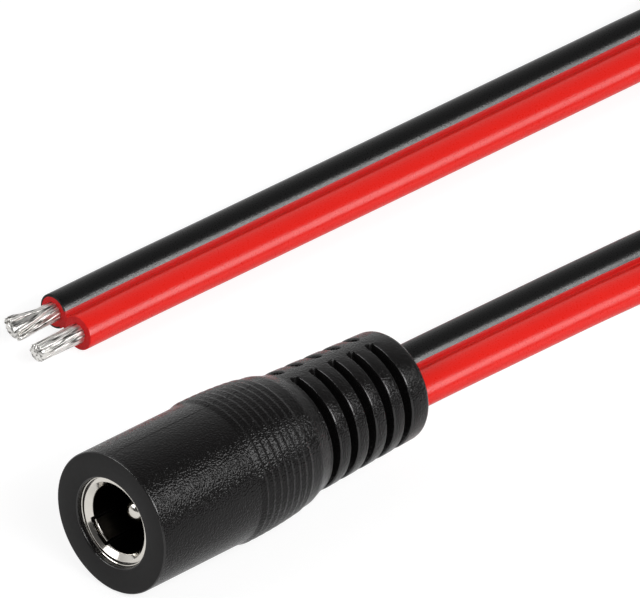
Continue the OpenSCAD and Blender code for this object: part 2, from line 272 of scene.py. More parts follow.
def smooth_pvc():
    """The same PVC on the mould's parting face round the mouth: flat and evenly matt."""
    material, tree = start_material("black_pvc_matt_face")
    place = put(tree, "ShaderNodeTexCoord").outputs["Object"]
    cloud = put(tree, "ShaderNodeTexNoise", {
        "Vector": place, "Scale": per_size(0.4 * MM), "Detail": 3})
    dullness = put(tree, "ShaderNodeMapRange", {
        "Value": cloud.outputs["Fac"], "To Min": 0.42, "To Max": 0.56})
    bump = put(tree, "ShaderNodeBump", {
        "Height": cloud.outputs["Fac"], "Strength": 1, "Distance": 0.006 * MM})
    tint = put(tree, "ShaderNodeMix", {
        "Factor": cloud.outputs["Fac"], "A": linear("#111010"), "B": linear("#141313")}, data_type="RGBA")
    end_material(tree, {
        "Base Color": tint.outputs["Result"], "Roughness": dullness.outputs["Result"],
        "IOR": 1.5, "Specular IOR Level": 0.19, "Normal": bump.outputs["Normal"]})
    return material


def edge_pvc():
    """The same PVC on sharp moulded edges, which the tool burnishes: a thin line that catches the lamps."""
    material, tree = start_material("black_pvc_burnished_edge")
    place = put(tree, "ShaderNodeTexCoord").outputs["Object"]
    nicks = put(tree, "ShaderNodeTexNoise", {
        "Vector": place, "Scale": per_size(0.15 * MM), "Detail": 1})
    dullness = put(tree, "ShaderNodeMapRange", {
        "Value": nicks.outputs["Fac"], "To Min": 0.12, "To Max": 0.3})
    bump = put(tree, "ShaderNodeBump", {
        "Height": nicks.outputs["Fac"], "Strength": 1, "Distance": 0.02 * MM})
    end_material(tree, {
        "Base Color": linear("#111010"), "Roughness": dullness.outputs["Result"],
        "IOR": 1.5, "Specular IOR Level": 0.55, "Normal": bump.outputs["Normal"]})
    return material


def nickel_plate():
    """Bright nickel on drawn brass: a mirror with a warm cast and faint polishing haze."""
    material, tree = start_material("nickel_plated_brass")
    place = put(tree, "ShaderNodeTexCoord").outputs["Object"]
    haze = put(tree, "ShaderNodeTexNoise", {
        "Vector": place, "Scale": per_size(0.8 * MM), "Detail": 4})
    dullness = put(tree, "ShaderNodeMapRange", {
        "Value": haze.outputs["Fac"], "To Min": 0.08, "To Max": 0.17})
    tint = put(tree, "ShaderNodeMix", {
        "Factor": haze.outputs["Fac"], "A": linear("#d1cdc5"), "B": linear("#dfdbd4")}, data_type="RGBA")
    bump = put(tree, "ShaderNodeBump", {
        "Height": haze.outputs["Fac"], "Strength": 1, "Distance": 0.004 * MM})
    end_material(tree, {
        "Base Color": tint.outputs["Result"], "Roughness": dullness.outputs["Result"],
        "Metallic": 1, "Normal": bump.outputs["Normal"]})
    return material


def shaded_bore_nickel():
    """Thin nickel down the drawn bore of the sleeve, too deep for the polish and so dull; its dark grey
    tint is painted shade deep in the bore.
    """
    material, tree = start_material("nickel_in_bore_painted_shade")
    place = put(tree, "ShaderNodeTexCoord").outputs["Object"]
    # Draw marks: fine round the bore and long along it
    stretched = put(tree, "ShaderNodeMapping", {
        "Vector": place, "Scale": (per_size(3 * MM), per_size(0.15 * MM), per_size(0.15 * MM))})
    marks = put(tree, "ShaderNodeTexNoise", {
        "Vector": stretched.outputs["Vector"], "Scale": 1, "Detail": 2})
    # Painted shade: the nickel is tinted dark grey, as the shade deep in the bore makes it look
    tint = put(tree, "ShaderNodeMix", {
        "Factor": marks.outputs["Fac"], "A": linear("#24221f"), "B": linear("#35322e")}, data_type="RGBA")
    dullness = put(tree, "ShaderNodeMapRange", {
        "Value": marks.outputs["Fac"], "To Min": 0.25, "To Max": 0.4})
    end_material(tree, {
        "Base Color": tint.outputs["Result"], "Roughness": dullness.outputs["Result"], "Metallic": 1})
    return material


def nylon():
    """Black moulded nylon at the bottom of the socket: dark, with a weak sheen."""
    material, tree = start_material("black_nylon")
    place = put(tree, "ShaderNodeTexCoord").outputs["Object"]
    cloud = put(tree, "ShaderNodeTexNoise", {
        "Vector": place, "Scale": per_size(0.3 * MM), "Detail": 2})
    dullness = put(tree, "ShaderNodeMapRange", {
        "Value": cloud.outputs["Fac"], "To Min": 0.45, "To Max": 0.6})
    end_material(tree, {
        "Base Color": linear("#0d0d0d"), "Roughness": dullness.outputs["Result"], "IOR": 1.53})
    return material


def tin(name, dull, lump_size, lump_depth, drawn_out):
    """Tin flowed over copper: bright and silvery, with lumps where it set, drawn out along the strands, and
    painted shade: dark grey streaks from the same lumps stand in for the shade in the gaps between strands."""
    material, tree = start_material(name)
    place = put(tree, "ShaderNodeTexCoord").outputs["Object"]
    along = put(tree, "ShaderNodeMapping", {"Vector": place, "Scale": (1 / drawn_out, 1, 1)})
    lumps = put(tree, "ShaderNodeTexNoise", {
        "Vector": along.outputs["Vector"], "Scale": per_size(lump_size), "Detail": 3, "Roughness": 0.55})
    dullness = put(tree, "ShaderNodeMapRange", {
        "Value": lumps.outputs["Fac"], "To Min": dull - 0.06, "To Max": dull + 0.1})
    # Painted shade: the low parts of the lumps are tinted dark grey, as shade in the gaps between strands
    crease_shade = put(tree, "ShaderNodeMapRange", {
        "Value": lumps.outputs["Fac"], "From Min": 0.36, "From Max": 0.52}).outputs["Result"]
    tint = put(tree, "ShaderNodeMix", {
        "Factor": crease_shade, "A": linear("#504e4b"), "B": linear("#eae8e4")}, data_type="RGBA")
    bump = put(tree, "ShaderNodeBump", {
        "Height": lumps.outputs["Fac"], "Strength": 1, "Distance": lump_depth})
    end_material(tree, {
        "Base Color": tint.outputs["Result"], "Roughness": dullness.outputs["Result"],
        "Metallic": 0.95, "Normal": bump.outputs["Normal"]})
    return material


def extruded_pvc(name, low, high, groove_shade, dull, gloss, rubbed_gloss):
    """Extruded PVC insulation: satin, with a fine orange peel, faint lines along the cable, a glossier flat
    where it was rubbed, and painted shade that darkens the red in the valley beside the skin."""
    material, tree = start_material(name)
    place = put(tree, "ShaderNodeTexCoord").outputs["Object"]
    lay = put(tree, "ShaderNodeUVMap", uv_map="lay").outputs["UV"]
    peel = put(tree, "ShaderNodeTexNoise", {
        "Vector": place, "Scale": per_size(0.14 * MM), "Detail": 1})
    # Die lines: fine across the cable and long along it
    stretched = put(tree, "ShaderNodeMapping", {
        "Vector": lay, "Scale": (per_size(0.12 * MM), per_size(20 * MM), 1)})
    lines = put(tree, "ShaderNodeTexNoise", {
        "Vector": stretched.outputs["Vector"], "Scale": 1, "Detail": 2})
    cloud = put(tree, "ShaderNodeTexNoise", {
        "Vector": place, "Scale": per_size(3 * MM), "Detail": 2})
    tint = put(tree, "ShaderNodeMix", {
        "Factor": cloud.outputs["Fac"], "A": linear(low), "B": linear(high)}, data_type="RGBA")
    # Painted shade: the red is tinted darker in the valley between the lobes, beside the black skin
    groove_shade_share = put(tree, "ShaderNodeAttribute", attribute_name="groove_shade").outputs["Fac"]
    shaded = put(tree, "ShaderNodeMix", {
        "Factor": groove_shade_share, "A": tint.outputs["Result"], "B": linear(groove_shade)}, data_type="RGBA")
    rubbed = put(tree, "ShaderNodeAttribute", attribute_name="rubbed").outputs["Fac"]
    shine = put(tree, "ShaderNodeMapRange", {"Value": rubbed, "To Min": gloss, "To Max": rubbed_gloss})
    dullness = put(tree, "ShaderNodeMapRange", {
        "Value": peel.outputs["Fac"], "To Min": dull - 0.05, "To Max": dull + 0.07})
    ridges = put(tree, "ShaderNodeBump", {
        "Height": lines.outputs["Fac"], "Strength": 1, "Distance": 0.003 * MM})
    bump = put(tree, "ShaderNodeBump", {
        "Height": peel.outputs["Fac"], "Strength": 1, "Distance": 0.01 * MM,
        "Normal": ridges.outputs["Normal"]})
    end_material(tree, {
        "Base Color": shaded.outputs["Result"], "Roughness": dullness.outputs["Result"],
        "IOR": 1.5, "Specular IOR Level": shine.outputs["Result"], "Normal": bump.outputs["Normal"]})
    return material


def cut_pvc():
    """Red PVC where the cable was cut through: dull and a little darker, with fine tears."""
    material, tree = start_material("red_pvc_cut_through")
    place = put(tree, "ShaderNodeTexCoord").outputs["Object"]
    tears = put(tree, "ShaderNodeTexNoise", {
        "Vector": place, "Scale": per_size(0.25 * MM), "Detail": 3})
    tint = put(tree, "ShaderNodeMix", {
        "Factor": tears.outputs["Fac"], "A": linear("#c01216"), "B": linear("#d61b1d")}, data_type="RGBA")
    dullness = put(tree, "ShaderNodeMapRange", {
        "Value": tears.outputs["Fac"], "To Min": 0.4, "To Max": 0.6})
    bump = put(tree, "ShaderNodeBump", {
        "Height": tears.outputs["Fac"], "Strength": 1, "Distance": 0.05 * MM})
    end_material(tree, {
        "Base Color": tint.outputs["Result"], "Roughness": dullness.outputs["Result"],
        "IOR": 1.5, "Specular IOR Level": 0.2, "Normal": bump.outputs["Normal"]})
    return material


# Mesh making

def rounded(corners, steps=4):
    """Points of a profile through corners, each given as s, radius and the reach of its round both ways."""
    corners = np.array(corners, float)
    places = corners[:, :2]
    points = [places[0]]
    for before, at, after, reach in zip(places, places[1:], places[2:], corners[1:, 2]):
        if reach == 0:
            points.append(at)
            continue
        back = (before - at) / np.linalg.norm(before - at)
        ahead = (after - at) / np.linalg.norm(after - at)
        pull = math.sqrt((1 - back @ ahead) / 2)
        for f in np.linspace(0, 1, steps + 1):
            shares = (1 - f) ** 2, 2 * f * (1 - f) * pull, f * f
            arc = shares[0] * (at + reach * back) + shares[1] * at + shares[2] * (at + reach * ahead)
            points.append(arc / sum(shares))
    return np.array(points + [places[-1]])


def round_jack(s, radius, angle):
    """Point at a distance behind the mouth, a radius and an angle round the jack's axis."""
    return np.stack(np.broadcast_arrays(
        FRONT_X + s, radius * np.sin(angle), AXIS_Z + radius * np.cos(angle)), axis=-1)


def turned(profile, angles):
    """Rings of points that a profile of s and radius makes round the jack's axis."""
    return np.array([round_jack(s, radius, angles) for s, radius in profile])


def lofted(name, lofts, finish, loop=False, sharp=35):
    """Mesh object from rows of closed rings. Ends are capped, unless the rings run round in a loop."""
    points, faces, marks = [], [], []
    for rings in lofts:
        rows, columns = rings.shape[:2]
        base = len(points)
        rises = np.linalg.norm(np.diff(rings.mean(1), axis=0), axis=1)
        along = np.concatenate([[0], np.cumsum(rises)])
        steps = np.linalg.norm(np.diff(rings[0], axis=0, append=rings[0][:1]), axis=1)
        around = np.concatenate([[0], np.cumsum(steps)])
        points.extend(rings.reshape(-1, 3).tolist())
        for i in range(rows if loop else rows - 1):
            k = (i + 1) % rows
            for j in range(columns):
                m = (j + 1) % columns
                faces.append((base + i * columns + j, base + i * columns + m,
                              base + k * columns + m, base + k * columns + j))
                marks.append(((around[j], along[i]), (around[j + 1], along[i]),
                              (around[j + 1], along[k]), (around[j], along[k])))
        if not loop:
            for i in (0, rows - 1):
                faces.append([base + i * columns + j for j in range(columns)])
                marks.append([(around[j], along[i]) for j in range(columns)])
    mesh = bpy.data.meshes.new(name)
    mesh.from_pydata(points, [], faces)
    lay = mesh.uv_layers.new(name="lay")
    lay.data.foreach_set("uv", np.concatenate([np.ravel(m) for m in marks]))
    shape = bmesh.new()
    shape.from_mesh(mesh)
    bmesh.ops.recalc_face_normals(shape, faces=shape.faces)
    shape.to_mesh(mesh)
    shape.free()
    mesh.polygons.foreach_set("use_smooth", [True] * len(mesh.polygons))
    mesh.set_sharp_from_angle(angle=math.radians(sharp))
    piece = bpy.data.objects.new(name, mesh)
    bpy.context.scene.collection.objects.link(piece)
    mesh.materials.append(finish)
    return piece


def build(name, lofts, finish, loop=False, sharp=35):
    """Lofted piece of the part, with its place in the frame."""
    piece = lofted(name, lofts, finish, loop, sharp)
    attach(piece, "root")
    return piece


# Overmoulding

GRIP_END = BARREL_LEN + GRIP_LEN
BAND_END = GRIP_END + BAND_LEN
RELIEF_START = BAND_END + SHOULDER_LEN
FIRST_SLOT = RELIEF_START + FIRST_RIB
SLOT_PITCH = (JACK_LEN - REAR_COLLAR - SLOT_W - FIRST_SLOT) / (SLOT_COUNT - 1)
RING_PITCH = GRIP_LEN / RING_COUNT
ANGLE_STEP = 1.5
SPINE_MARGIN = 0.1 * MM
STEP_GROWTH = 4


def relief_r(s):
    """Radius of the tapered strain relief."""
    return RELIEF_R - (RELIEF_R - RELIEF_END_R) * (s - RELIEF_START) / (JACK_LEN - RELIEF_START)


def mouth_corners():
    """From the bottom of the sleeve's seat out to the front face and the barrel's edge."""
    seat_end = FLANGE_RECESS + FLANGE_T
    return [(SLEEVE_END, SLEEVE_R / 4, 0), (SLEEVE_END, SLEEVE_R, 0), (seat_end, SLEEVE_R, 0),
            (seat_end, FLANGE_R, 0), (0, FLANGE_R, SEAT_EDGE), (0, BARREL_R, BARREL_EDGE),
            (BARREL_LEN, BARREL_END_R, RING_EDGE)]


def grip_corners():
    """Rings that widen to the rear and drop, under a crowned outline."""
    corners = []
    for i in range(1, RING_COUNT + 1):
        foot_s = BARREL_LEN + i * RING_PITCH
        crest_r = GRIP_R - GRIP_FALL * ((i - 1) / (RING_COUNT - 1)) ** 2
        corners += [(foot_s - RING_DROP, crest_r, RING_EDGE), (foot_s, crest_r - RING_DEPTH, RING_EDGE)]
    return corners


def relief_corners():
    """Band, shoulder and the slots with their rounded edges, leaning walls and rounded floors."""
    corners = [(BAND_END, BAND_END_R, BAND_ROUND), (RELIEF_START, RELIEF_R, SLOT_EDGE)]
    for i in range(SLOT_COUNT):
        start = FIRST_SLOT + i * SLOT_PITCH
        end = start + SLOT_W
        corners += [(start, relief_r(start), SLOT_EDGE), (start + SLOT_LEAN, CORE_R, SLOT_FLOOR_ROUND),
                    (end - SLOT_LEAN, CORE_R, SLOT_FLOOR_ROUND), (end, relief_r(end), SLOT_EDGE)]
    return corners + [(JACK_LEN, relief_r(JACK_LEN), REAR_EDGE), (JACK_LEN, CORE_R / 4, 0)]


def housing_rows():
    """Rows of the slotted outline as s and radius, and the radii that the spines keep."""
    slotted = rounded(mouth_corners() + grip_corners() + relief_corners())
    plain = slotted[:, 1].copy()
    last_slot = JACK_LEN - REAR_COLLAR
    ribs = (slotted[:, 0] > FIRST_SLOT - SLOT_EDGE) & (slotted[:, 0] < last_slot + SLOT_EDGE)
    plain[ribs] = relief_r(slotted[ribs, 0])
    return slotted, plain


def housing_angles():
    """Angles round the jack, closer together at the parting line and the slots' ends."""
    even = np.radians(np.arange(0, 360, ANGLE_STEP))
    step = PARTING_LINE + np.linspace(-0.6, 0.6, 9) * PARTING_WIDE / BARREL_R
    spine_side = np.linspace(SPINE_HALF - SPINE_MARGIN, SPINE_HALF + SPINE_FLARE + SPINE_MARGIN, 12)
    slot_end = np.arcsin(spine_side / RELIEF_R)
    close = np.concatenate([step, SPINE_TURN + slot_end, SPINE_TURN - slot_end])
    turns = np.concatenate([even, close, close + math.pi])
    return np.unique(np.round(np.mod(turns, 2 * math.pi), 5))


def smooth_step(value):
    value = np.clip(value, 0, 1)
    return value * value * (3 - 2 * value)


def slot_corner(s):
    """How far the rounded end of a slot stands back from the spine, by the distance from its walls."""
    starts = FIRST_SLOT + SLOT_PITCH * np.arange(SLOT_COUNT)
    gap = np.clip(np.max(np.minimum(s - starts, starts + SLOT_W - s)), 0, SLOT_CORNER)
    return SLOT_CORNER - math.sqrt(SLOT_CORNER ** 2 - (SLOT_CORNER - gap) ** 2)


def make_housing(grain, face, edge):
    """Overmoulding with its slots and parting step, and a finish each for its front face and lit edges."""
    slotted, plain = housing_rows()
    angles = housing_angles()
    aside = RELIEF_R * np.abs(np.sin(angles - SPINE_TURN))
    step = PARTING_STEP * smooth_step(BARREL_R * np.sin(angles - PARTING_LINE) / PARTING_WIDE + 0.5)
    rings = []
    for (s, deep), full in zip(slotted, plain):
        cut_open = smooth_step((aside - SPINE_HALF - slot_corner(s)) / SPINE_FLARE)
        # The parting step grows over the inner part of the front face, and fades at the grip's end
        stepped = smooth_step((full - FLANGE_R) / (BARREL_R - FLANGE_R) * STEP_GROWTH)
        stepped *= smooth_step((GRIP_END - s) / RING_PITCH)
        rings.append(round_jack(s, full + (deep - full) * cut_open + step * stepped, angles))
    housing = build("jack_overmoulding", [np.array(rings)], grain, sharp=60)
    housing.data.materials.append(face)
    housing.data.materials.append(edge)
    for polygon in housing.data.polygons:
        s, ahead = polygon.center.x - FRONT_X, -polygon.normal.x
        out = math.hypot(polygon.center.y, polygon.center.z - AXIS_Z)
        on_rib = s > FIRST_SLOT and out > relief_r(s) - SLOT_EDGE
        if s < BARREL_EDGE and ahead > FACE_AHEAD:
            polygon.material_index = 1
        elif (s < SEAT_EDGE or on_rib) and ahead > EDGE_AHEAD:
            polygon.material_index = 2
    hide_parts("jack_housing")


# Socket

def even_angles(count):
    return np.linspace(0, 2 * math.pi, count, endpoint=False)


def make_sleeve(plate, bore):
    """Sleeve with its flange, bead and bell mouth. The wall has a window, which holds the spring leaf."""
    flange_end = FLANGE_RECESS + FLANGE_T
    corners = [(SLEEVE_END, SLEEVE_R, 0), (SLEEVE_END, SLEEVE_BORE_R, 0),
               (FLANGE_RECESS + BELL_DEPTH, SLEEVE_BORE_R, BELL_ROUND), (FLANGE_RECESS, BELL_R, BELL_LIP),
               (FLANGE_RECESS + BEAD_DIP, BEAD_R - BEAD_W, BEAD_ROUND),
               (FLANGE_RECESS + BEAD_W, BEAD_R, BEAD_ROUND),
               (FLANGE_RECESS + BEAD_DIP, FLANGE_R, RIM_ROUND), (flange_end, FLANGE_R, 0),
               (flange_end, SLEEVE_R, 0), (SLEEVE_END, SLEEVE_R, 0)]
    rings = turned(rounded(corners, 6)[:-1], even_angles(SLEEVE_SIDES))
    sleeve = build("socket_sleeve", [rings], plate, loop=True, sharp=50)
    cut_window(sleeve, flange_end - LEAF_GAP, flange_end + LEAF_LEN)
    # Faces deep in the bore take the nickel with painted shade
    sleeve.data.materials.append(bore)
    for polygon in sleeve.data.polygons:
        out = math.hypot(polygon.center.y, polygon.center.z - AXIS_Z)
        if polygon.center.x > FRONT_X + FLANGE_RECESS + BELL_DEPTH and out < SLEEVE_R - BORE_INSIDE:
            polygon.material_index = 1
    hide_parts("contact_sleeve")
    make_leaf(flange_end, plate, bore)


def cut_window(sleeve, start, end):
    """Takes a straight-sided block out of the sleeve's wall, and a notch out of its flange."""
    half = LEAF_W / 2 + LEAF_GAP
    deep, far = SLEEVE_BORE_R / 2, SLEEVE_R + LEAF_GAP / 2
    outer = np.linspace(-1, 1, 9) * math.asin(half / far)
    radii = np.array([math.hypot(deep, half)] * 2 + [far] * len(outer))
    turns = np.concatenate([[math.atan2(half, deep), -math.atan2(half, deep)], outer])
    ends = np.array([round_jack(s, radii, LEAF_ANGLE + turns) for s in (start, end)])
    block = lofted("window", [ends], sleeve.data.materials[0])
    cut = sleeve.modifiers.new("window", "BOOLEAN")
    cut.object = block
    cut.operation = "DIFFERENCE"
    cut.solver = "EXACT"
    shape = bpy.data.meshes.new_from_object(sleeve.evaluated_get(bpy.context.evaluated_depsgraph_get()))
    sleeve.modifiers.clear()
    sleeve.data = shape
    sleeve.data.set_sharp_from_angle(angle=WINDOW_SHARP)
    bpy.data.objects.remove(block)


def make_leaf(free_end, plate, bore):
    """Strip, round as the wall, that leaves it at its root, runs in to its knee and out to its end."""
    turns = np.linspace(-0.5, 0.5, 13) * LEAF_W / SLEEVE_BORE_R
    line = rounded([(free_end + LEAF_LEN + LEAF_GAP, 0, 0), (free_end + LEAF_LEN, 0, LEAF_GAP / 2),
                    (free_end + LEAF_KNEE, LEAF_BEND, KNEE_ROUND), (free_end + LEAF_EDGE, 0, 0)], 8)
    stops = [(s, dip, LEAF_T) for s, dip in line]
    for a in QUARTER[1:]:
        thin = LEAF_EDGE * (1 - math.cos(a))
        stops.append((free_end + LEAF_EDGE * (1 - math.sin(a)), 0, LEAF_T - thin))
    rings = []
    for s, dip, thick in stops:
        faces = [round_jack(s, out, LEAF_ANGLE + turns) for out in (LEAF_R - dip, LEAF_R - dip - thick)]
        rings.append(np.concatenate([faces[0], faces[1][::-1]]))
    # The leaf takes the nickel with the bore's painted shade; only its front edge is the bright plate
    leaf = build("socket_leaf", [np.array(rings)], bore)
    leaf.data.materials.append(plate)
    for polygon in leaf.data.polygons:
        if polygon.normal.x < -EDGE_AHEAD and polygon.center.x < FRONT_X + free_end + LEAF_EDGE:
            polygon.material_index = 1
    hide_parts("contact_sleeve")


def make_pin(plate):
    """Pin with its rounded tip, its root in the insulator, its collar and its tail."""
    collar_end = SLEEVE_END + PIN_COLLAR_T
    corners = [(PIN_RECESS, PIN_END_R, 0), (PIN_RECESS, PIN_R, PIN_TIP_ROUND), (SOCKET_DEPTH, PIN_R, 0),
               (SOCKET_DEPTH, PIN_ROOT_R, 0), (SLEEVE_END, PIN_ROOT_R, 0), (SLEEVE_END, PIN_COLLAR_R, 0),
               (collar_end, PIN_COLLAR_R, 0), (collar_end, PIN_TAIL_R, 0),
               (collar_end + PIN_TAIL_LEN, PIN_TAIL_R, 0), (collar_end + PIN_TAIL_LEN, PIN_END_R, 0)]
    rings = turned(rounded(corners, 12), even_angles(PIN_SIDES))
    pin = build("socket_pin", [rings], plate, sharp=50)
    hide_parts("centre_pin")


# Cable

def cable_line():
    """Smooth line through the route's points, with the roll of the section at each point."""
    route = np.array(ROUTE, float)
    route[:, :3] *= MM
    route[:, 3] = np.radians(route[:, 3])
    ends = np.vstack([2 * route[0] - route[1], route, 2 * route[-1] - route[-2]])
    line = []
    for p, q, r, s in zip(ends, ends[1:], ends[2:], ends[3:]):
        for t in np.arange(ROUTE_STEPS) / ROUTE_STEPS:
            line.append((2 * q + (r - p) * t + (2 * p - 5 * q + 4 * r - s) * t ** 2
                         + (3 * q - p - 3 * r + s) * t ** 3) / 2)
    return np.array(line + [route[-1]])


def lobe(side, radius, reach, steps):
    """Arc of a lobe of the section, from -reach to reach round its centre, with 0 away from the web."""
    turn = np.linspace(-reach, reach, steps)
    return np.stack([side * (HALF_PITCH + radius * np.cos(turn)), radius * np.sin(turn)], axis=1)


def red_section(skin):
    """Outline of the red extrusion, with room for a skin of this thickness on the black lobe."""
    edge = lobe(1, LOBE_R, SKIN_REACH, 2)
    strip = lobe(1, LOBE_R, WEB_REACH, LOBE_STEPS)
    low = [p for p, a in zip(strip, np.linspace(-WEB_REACH, WEB_REACH, LOBE_STEPS)) if a < -SKIN_REACH]
    high = [p * (1, -1) for p in reversed(low)]
    under_skin = lobe(1, LOBE_R - skin, SKIN_REACH, UNDER_SKIN_STEPS)
    return np.array([(0, -WEB_HALF), *low, edge[0], *under_skin, edge[1], *high,
                     (0, WEB_HALF), *lobe(-1, LOBE_R, WEB_REACH, LOBE_STEPS)[::-1]])


def skin_section(thick):
    """Outline of the black skin, where it has this thickness."""
    return np.concatenate([lobe(1, LOBE_R - SKIN_T + thick, SKIN_REACH, SKIN_STEPS),
                           lobe(1, LOBE_R - SKIN_T, SKIN_REACH, SKIN_STEPS)[::-1]])


def drawn_in(section, amount):
    """Section with the outline of its red lobe drawn in towards the lobe's centre."""
    centre = np.array((-HALF_PITCH, 0))
    share = np.clip(-section[:, :1] / WEB_HALF, 0, 1)
    return section - (section - centre) * share * amount / LOBE_R


def swept(line, section, ends):
    """Rings of a section along the cable, then of its end sections, each at a distance before the cut.
    Also the directions across and square to the cable at each ring."""
    straight = (line[-1] - line[-2]) / np.linalg.norm(line[-1, :3] - line[-2, :3])
    kept = np.linalg.norm(line[:, :3] - line[-1, :3], axis=1) > 2 * CUT_ROUND
    stops = np.concatenate([line[kept], [line[-1] - back * straight for back, outline in ends]])
    outlines = [section] * kept.sum() + [outline for back, outline in ends]
    ahead = np.gradient(line[:, :3], axis=0)
    ahead = np.concatenate([ahead[kept], [straight[:3]] * len(ends)])
    rings, frames = [], []
    for stop, way, outline in zip(stops, ahead, outlines):
        side = np.cross((0, 0, 1), way)
        side /= np.linalg.norm(side)
        up = np.cross(way, side) / np.linalg.norm(way)
        across = side * math.cos(stop[3]) + up * math.sin(stop[3])
        square = up * math.cos(stop[3]) - side * math.sin(stop[3])
        rings.append(stop[:3] + outline[:, :1] * across + outline[:, 1:] * square)
        frames.append((across, square))
    return np.array(rings), np.array(frames)


def on_flat(angle, frames, flat):
    """Angle past the middle of a lobe's flat, going on from the upper side, and how clear the flat is."""
    upward = frames[:, 1, 2]
    off = np.mod(np.sign(upward) * angle - flat + math.pi, 2 * math.pi) - math.pi
    return off, smooth_step(np.abs(upward) / FLAT_CLEAR)


def shade_flat(mesh, columns, frames, flat):
    """Turns the shading of the lobes to a flat that the mesh doesn't have: it stays round as the solid."""
    normals = np.zeros(3 * len(mesh.loops))
    mesh.corner_normals.foreach_get("vector", normals)
    normals = normals.reshape(-1, 3)
    corners = np.zeros(len(mesh.loops), int)
    mesh.loops.foreach_get("vertex_index", corners)
    frames = frames[corners // columns]
    across, square = frames.transpose(1, 0, 2)
    wide = (normals * across).sum(1)
    high = (normals * square).sum(1)
    angle = np.arctan2(high, wide)
    off, clear = on_flat(angle, frames, flat)
    turn = (FLAT_FACES - flat) * np.exp(-(off / FLAT_FADE) ** 2)
    turn -= FLATNESS * off * np.exp(-(off / FLAT_HALF) ** 2)
    angle += np.sign(square[:, 2]) * clear * turn
    rest = normals - wide[:, None] * across - high[:, None] * square
    ring = np.cos(angle)[:, None] * across + np.sin(angle)[:, None] * square
    mesh.normals_split_custom_set((rest + np.hypot(wide, high)[:, None] * ring).tolist())


def mark_flat(mesh, section, frames, flat, shades_groove):
    """Writes on the mesh where a lobe's flat shines, and where painted shade darkens the red beside the
    skin.
    """
    from_lobe = section[:, 0] - np.copysign(HALF_PITCH, section[:, 0])
    angle = np.tile(np.arctan2(section[:, 1], from_lobe), len(frames))
    off, clear = on_flat(angle, np.repeat(frames, len(section), axis=0), flat)
    # Painted shade in the valley beside the skin, written only on the red
    groove_shade = np.tile(smooth_step((section[:, 0] - GROOVE_SHADE_FROM) / GROOVE_SHADE_FADE), len(frames)) * shades_groove
    rubbed = clear * np.exp(-(off / FLAT_GLOSS) ** 2) * (1 - groove_shade)
    for name, values in (("rubbed", rubbed), ("groove_shade", groove_shade)):
        mesh.attributes.new(name, "FLOAT", "POINT").data.foreach_set("value", values)


def make_cable(red, cut, black):
    """The red extrusion and the black skin on one lobe, cut off square with slightly rounded edges."""
    line = cable_line()
    red_outline = red_section(SKIN_T)
    skin_outline = skin_section(SKIN_T)
    backs = CUT_ROUND * (1 - np.sin(QUARTER))
    losses = CUT_ROUND * (1 - np.cos(QUARTER))
    red_ends = [(back, drawn_in(red_outline, loss)) for back, loss in zip(backs, losses)]
    skin_ends = [(back, skin_section(SKIN_T - loss)) for back, loss in zip(backs, losses)]
    red_rings, frames = swept(line, red_outline, red_ends)
    skin_rings = swept(line, skin_outline, skin_ends)[0]
    insulation = build("twin_cable_red", [red_rings], red, sharp=50)
    skin = build("twin_cable_black_skin", [skin_rings], black, sharp=50)
    shade_flat(insulation.data, len(red_outline), frames, RED_FLAT)
    shade_flat(skin.data, len(skin_outline), frames, BLACK_FLAT)
    mark_flat(insulation.data, red_outline, frames, RED_FLAT, True)
    mark_flat(skin.data, skin_outline, frames, BLACK_FLAT, False)
    insulation.data.materials.append(cut)
    for polygon in insulation.data.polygons:
        if polygon.center.x < line[-1, 0] + CUT_ROUND and polygon.normal.x < -CUT_AHEAD:
            polygon.material_index = 1
    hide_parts("cable_insulation")
    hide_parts("cable_black_skin")
    return insulation, skin, line


# Tinned ends

# Layers of strands: how many, their circle and their radius as shares of the bundle's, and how far
# their twist strays
STRANDS = [(11, 0.78, 0.21, 0), (6, 0.42, 0.26, 0), (3, 0.9, 0.1, 0.2)]
STRAND_ROWS = 80
# Chance differences between strands: their spacing, their radius and how far a tip falls short
UNEVEN_SPACING = 0.6
UNEVEN_RADIUS = 0.12
UNEVEN_TIP = 0.12 * MM
# Waves of a strand to and fro round the bundle, in radians
WAVE = 0.08
WAVE_PER_MM = 1.7
TIN_AT_ROOT = 0.9
TIN_SIDES = 96
TIN_BACK = 0.05 * MM
ROOT_IN = 0.4 * MM
ROOT_BULGE = 0.09
ROOT_BULGE_LEN = 1 * MM
OPENS_AT = 0.25 * BARE_LEN
TIP_DOME = 0.45 * MM
TIP_CLOSED = 0.97
# Where round the bundle the strands part, and how far from there they still do
GAPE_TURN = math.radians(80)
GAPE_FADE = 0.8
# Across the bundles, square to the photograph's line of sight
BUNDLE_ACROSS = (0, 0.63, 0.778)
# A way that no strand runs along, from which the rings of every strand are laid
OFF_STRAND = (0.2, 0.3, 1)


def opened(run):
    """How far the bundle has opened out at a distance from the cut end of the insulation."""
    return smooth_step((run - OPENS_AT) / (BARE_LEN - OPENS_AT))


def domed(back):
    """Share of its radius that a rounded tip has at a share of the way back from its end."""
    return np.sqrt(1 - TIP_CLOSED * (1 - np.clip(back, 0, 1)) ** 2)


def strand(path, radius, sides=20):
    """Rings of a round strand with a rounded tip."""
    ahead = np.gradient(path, axis=0)
    ahead /= np.linalg.norm(ahead, axis=1)[:, None]
    turn = even_angles(sides)
    rings = []
    for place, way, r in zip(path, ahead, radius):
        side = np.cross(way, OFF_STRAND)
        side /= np.linalg.norm(side)
        up = np.cross(way, side)
        rings.append(place + r * (np.cos(turn)[:, None] * side + np.sin(turn)[:, None] * up))
    return np.array(rings)


